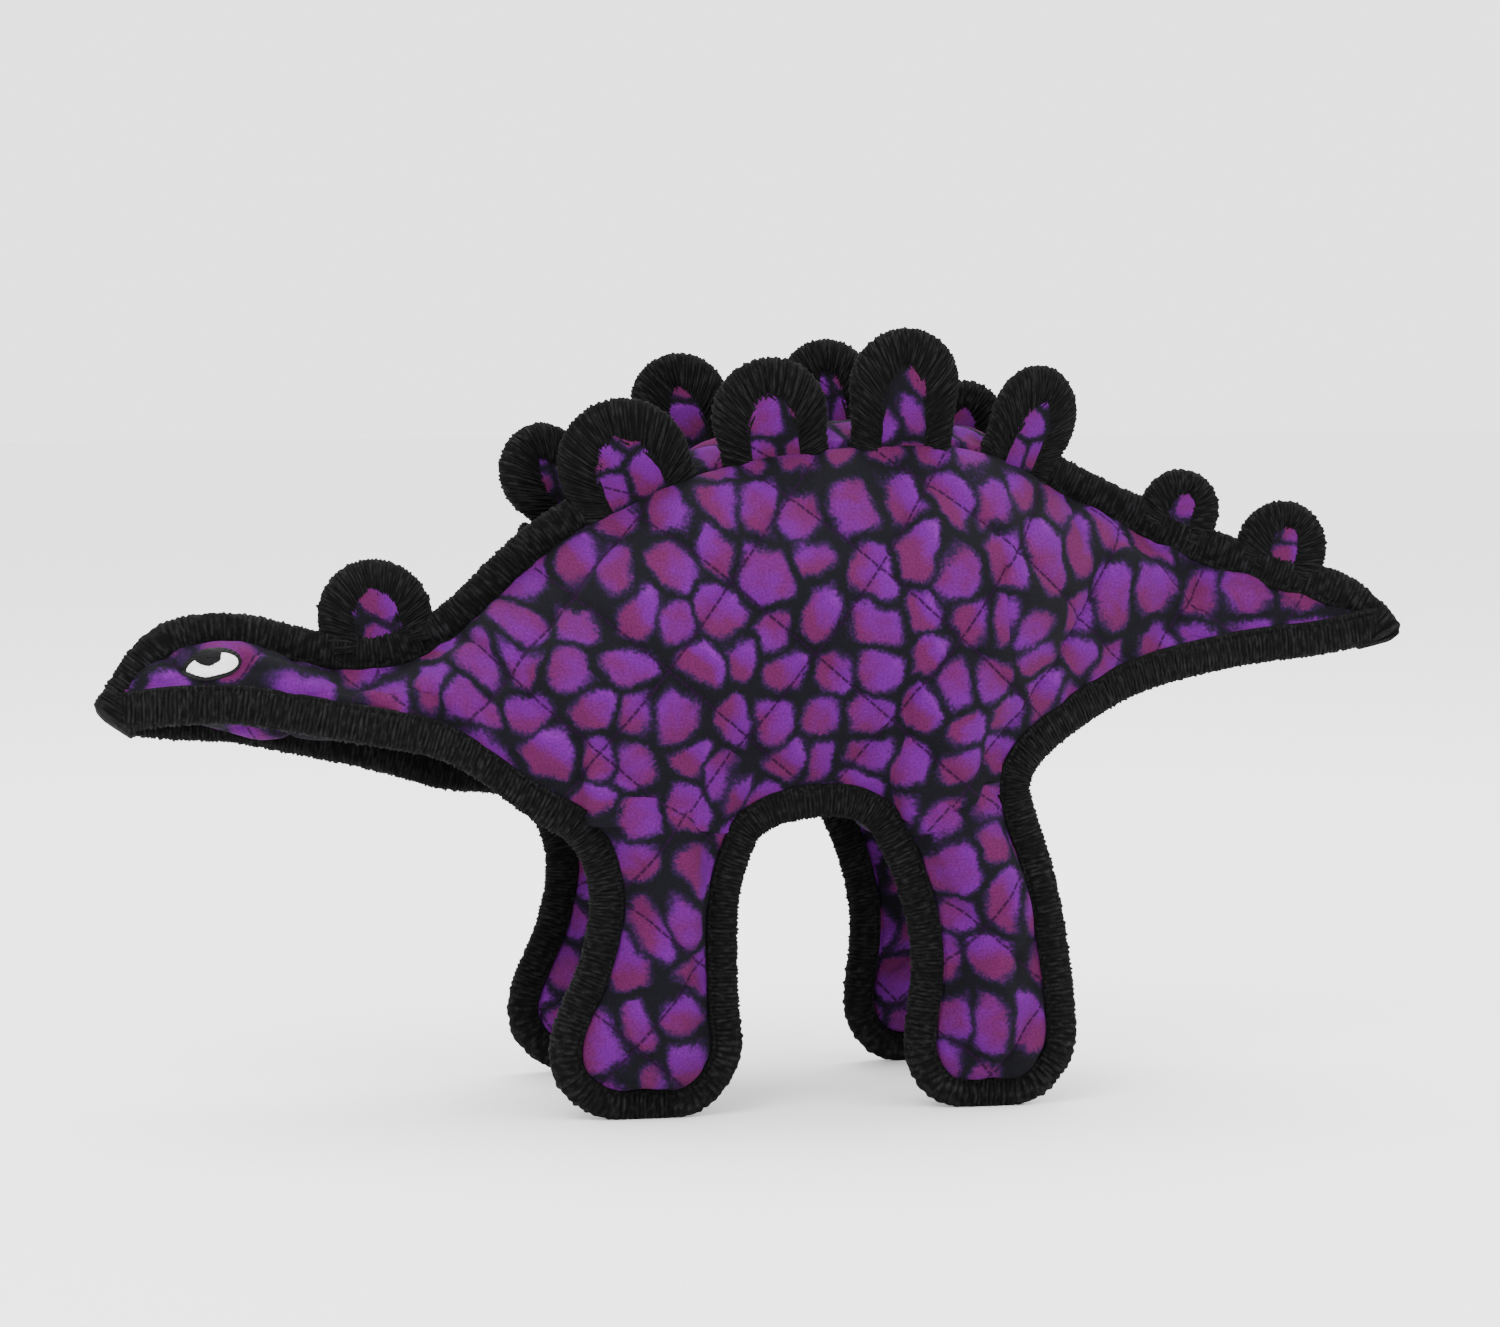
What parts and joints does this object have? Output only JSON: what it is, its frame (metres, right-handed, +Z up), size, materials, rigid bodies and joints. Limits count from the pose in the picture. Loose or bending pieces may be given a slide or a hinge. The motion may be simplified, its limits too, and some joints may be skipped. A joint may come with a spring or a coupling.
{
  "type": "stuffed toy dinosaur",
  "caption": "Stuffed plush stegosaurus toy with taped outside seams, flexible back plates and a squeaker inside.",
  "frame": {"origin": "on the ground, under the middle of the bounding box", "axes": "+Z up; +X along the toy from its nose to its tail; its left side faces -Y"},
  "size_m": [0.439, 0.1238, 0.2529],
  "materials": {
    "plush": "short pile, printed in irregular scales from plum to violet with dark gaps, quilted in a diamond grid",
    "tape": "black ribbed binding tape, folded and stitched",
    "wadding": "loose white polyester filling",
    "thread_white": "white satin stitch",
    "thread_black": "black satin stitch",
    "pouch": "plain woven cloth",
    "vinyl": "soft satin moulded vinyl",
    "reed": "plain moulded"
  },
  "bodies": {
    "torso": {"torso_filling_front": "wadding", "torso_filling_rear": "wadding", "side_panel_left": "plush", "side_panel_right": "plush", "under_panel": "plush", "back_gusset": "plush", "arch_tape_left": "tape", "arch_tape_right": "tape", "squeaker_pouch": "pouch", "squeaker_bulb": "vinyl", "squeaker_reed": "reed"},
    "head": {"head_filling": "wadding", "chin_tape_left": "tape", "chin_tape_right": "tape", "crest_tape_front": "tape", "eye_white_left": "thread_white", "eye_white_right": "thread_white", "eye_black_left": "thread_black", "eye_black_right": "thread_black"},
    "tail": {"tail_filling": "wadding", "tail_tape_left": "tape", "tail_tape_right": "tape", "crest_tape_rear": "tape"},
    "leg_front_left": {"leg_filling_front_left": "wadding", "leg_tape_front_left": "tape"},
    "leg_front_right": {"leg_filling_front_right": "wadding", "leg_tape_front_right": "tape"},
    "leg_rear_left": {"leg_filling_rear_left": "wadding", "leg_tape_rear_left": "tape"},
    "leg_rear_right": {"leg_filling_rear_right": "wadding", "leg_tape_rear_right": "tape"},
    "plate_1": {"plate_core_1": "plush", "plate_tape_1": "tape"},
    "plate_2": {"plate_core_2": "plush", "plate_tape_2": "tape"},
    "plate_3": {"plate_core_3": "plush", "plate_tape_3": "tape"},
    "plate_4": {"plate_core_4": "plush", "plate_tape_4": "tape"},
    "plate_5": {"plate_core_5": "plush", "plate_tape_5": "tape"},
    "plate_6": {"plate_core_6": "plush", "plate_tape_6": "tape"},
    "plate_7": {"plate_core_7": "plush", "plate_tape_7": "tape"},
    "plate_8": {"plate_core_8": "plush", "plate_tape_8": "tape"},
    "plate_9": {"plate_core_9": "plush", "plate_tape_9": "tape"},
    "plate_10": {"plate_core_10": "plush", "plate_tape_10": "tape"},
    "plate_11": {"plate_core_11": "plush", "plate_tape_11": "tape"}
  },
  "joints": [
    {"name": "neck_bend", "type": "hinge", "parent": "torso", "child": "head", "pos_m": [-0.1, 0, 0.133], "axis": [0, 0, 1], "range_deg": [-18, 18], "stiffness_Nm_per_rad": 0.6, "deforming": ["side_panel_left", "side_panel_right", "under_panel", "chin_tape_left", "chin_tape_right", "crest_tape_front"]},
    {"name": "tail_bend", "type": "hinge", "parent": "torso", "child": "tail", "pos_m": [0.103, 0, 0.165], "axis": [0, 0, 1], "range_deg": [-18, 18], "stiffness_Nm_per_rad": 0.6, "deforming": ["side_panel_left", "side_panel_right", "under_panel", "tail_tape_left", "tail_tape_right"]},
    {"name": "leg_front_left_bend", "type": "hinge", "parent": "torso", "child": "leg_front_left", "pos_m": [-0.044, -0.045, 0.0985], "axis": [1, 0, 0], "range_deg": [-12, 12], "stiffness_Nm_per_rad": 2, "deforming": ["side_panel_left", "under_panel", "arch_tape_left", "chin_tape_left"]},
    {"name": "leg_front_right_bend", "type": "hinge", "parent": "torso", "child": "leg_front_right", "pos_m": [-0.044, 0.045, 0.0985], "axis": [1, 0, 0], "range_deg": [-12, 12], "stiffness_Nm_per_rad": 2, "deforming": ["side_panel_right", "under_panel", "arch_tape_right", "chin_tape_right"]},
    {"name": "leg_rear_left_bend", "type": "hinge", "parent": "torso", "child": "leg_rear_left", "pos_m": [0.052, -0.045, 0.098], "axis": [1, 0, 0], "range_deg": [-12, 12], "stiffness_Nm_per_rad": 2, "deforming": ["side_panel_left", "under_panel", "arch_tape_left", "tail_tape_left"]},
    {"name": "leg_rear_right_bend", "type": "hinge", "parent": "torso", "child": "leg_rear_right", "pos_m": [0.052, 0.045, 0.098], "axis": [1, 0, 0], "range_deg": [-12, 12], "stiffness_Nm_per_rad": 2, "deforming": ["side_panel_right", "under_panel", "arch_tape_right", "tail_tape_right"]},
    {"name": "plate_1_flop", "type": "hinge", "parent": "head", "child": "plate_1", "pos_m": [-0.12821, 0.00519, 0.15798], "axis": [0.9885, 0.0443, 0.1448], "range_deg": [-30, 30], "stiffness_Nm_per_rad": 0.04},
    {"name": "plate_2_flop", "type": "hinge", "parent": "torso", "child": "plate_2", "pos_m": [-0.06419, 0.01076, 0.19275], "axis": [0.7723, 0.3498, 0.5302], "range_deg": [-30, 30], "stiffness_Nm_per_rad": 0.04},
    {"name": "plate_3_flop", "type": "hinge", "parent": "torso", "child": "plate_3", "pos_m": [-0.04676, -0.01647, 0.20212], "axis": [0.8749, -0.2218, 0.4305], "range_deg": [-30, 30], "stiffness_Nm_per_rad": 0.04},
    {"name": "plate_4_flop", "type": "hinge", "parent": "torso", "child": "plate_4", "pos_m": [-0.01968, 0.02129, 0.21263], "axis": [0.9598, 0.0608, 0.2741], "range_deg": [-30, 30], "stiffness_Nm_per_rad": 0.04},
    {"name": "plate_5_flop", "type": "hinge", "parent": "torso", "child": "plate_5", "pos_m": [-0.00198, -0.0223, 0.21649], "axis": [0.9867, -0.0197, 0.1612], "range_deg": [-30, 30], "stiffness_Nm_per_rad": 0.04},
    {"name": "plate_6_flop", "type": "hinge", "parent": "torso", "child": "plate_6", "pos_m": [0.02673, 0.02191, 0.21939], "axis": [0.9972, -0.0487, 0.0558], "range_deg": [-30, 30], "stiffness_Nm_per_rad": 0.04},
    {"name": "plate_7_flop", "type": "hinge", "parent": "torso", "child": "plate_7", "pos_m": [0.04112, -0.02121, 0.2198], "axis": [0.995, 0.0995, -0.0074], "range_deg": [-30, 30], "stiffness_Nm_per_rad": 0.04},
    {"name": "plate_8_flop", "type": "hinge", "parent": "torso", "child": "plate_8", "pos_m": [0.06998, 0.01591, 0.21669], "axis": [0.9255, -0.2592, -0.276], "range_deg": [-30, 30], "stiffness_Nm_per_rad": 0.04},
    {"name": "plate_9_flop", "type": "hinge", "parent": "torso", "child": "plate_9", "pos_m": [0.08356, -0.00998, 0.21124], "axis": [0.8166, 0.4061, -0.4101], "range_deg": [-30, 30], "stiffness_Nm_per_rad": 0.04},
    {"name": "plate_10_flop", "type": "hinge", "parent": "tail", "child": "plate_10", "pos_m": [0.14265, 0, 0.19249], "axis": [0.9112, 0, -0.4121], "range_deg": [-30, 30], "stiffness_Nm_per_rad": 0.04},
    {"name": "plate_11_flop", "type": "hinge", "parent": "tail", "child": "plate_11", "pos_m": [0.17823, 0, 0.17922], "axis": [0.9542, 0, -0.2993], "range_deg": [-30, 30], "stiffness_Nm_per_rad": 0.04}
  ]
}
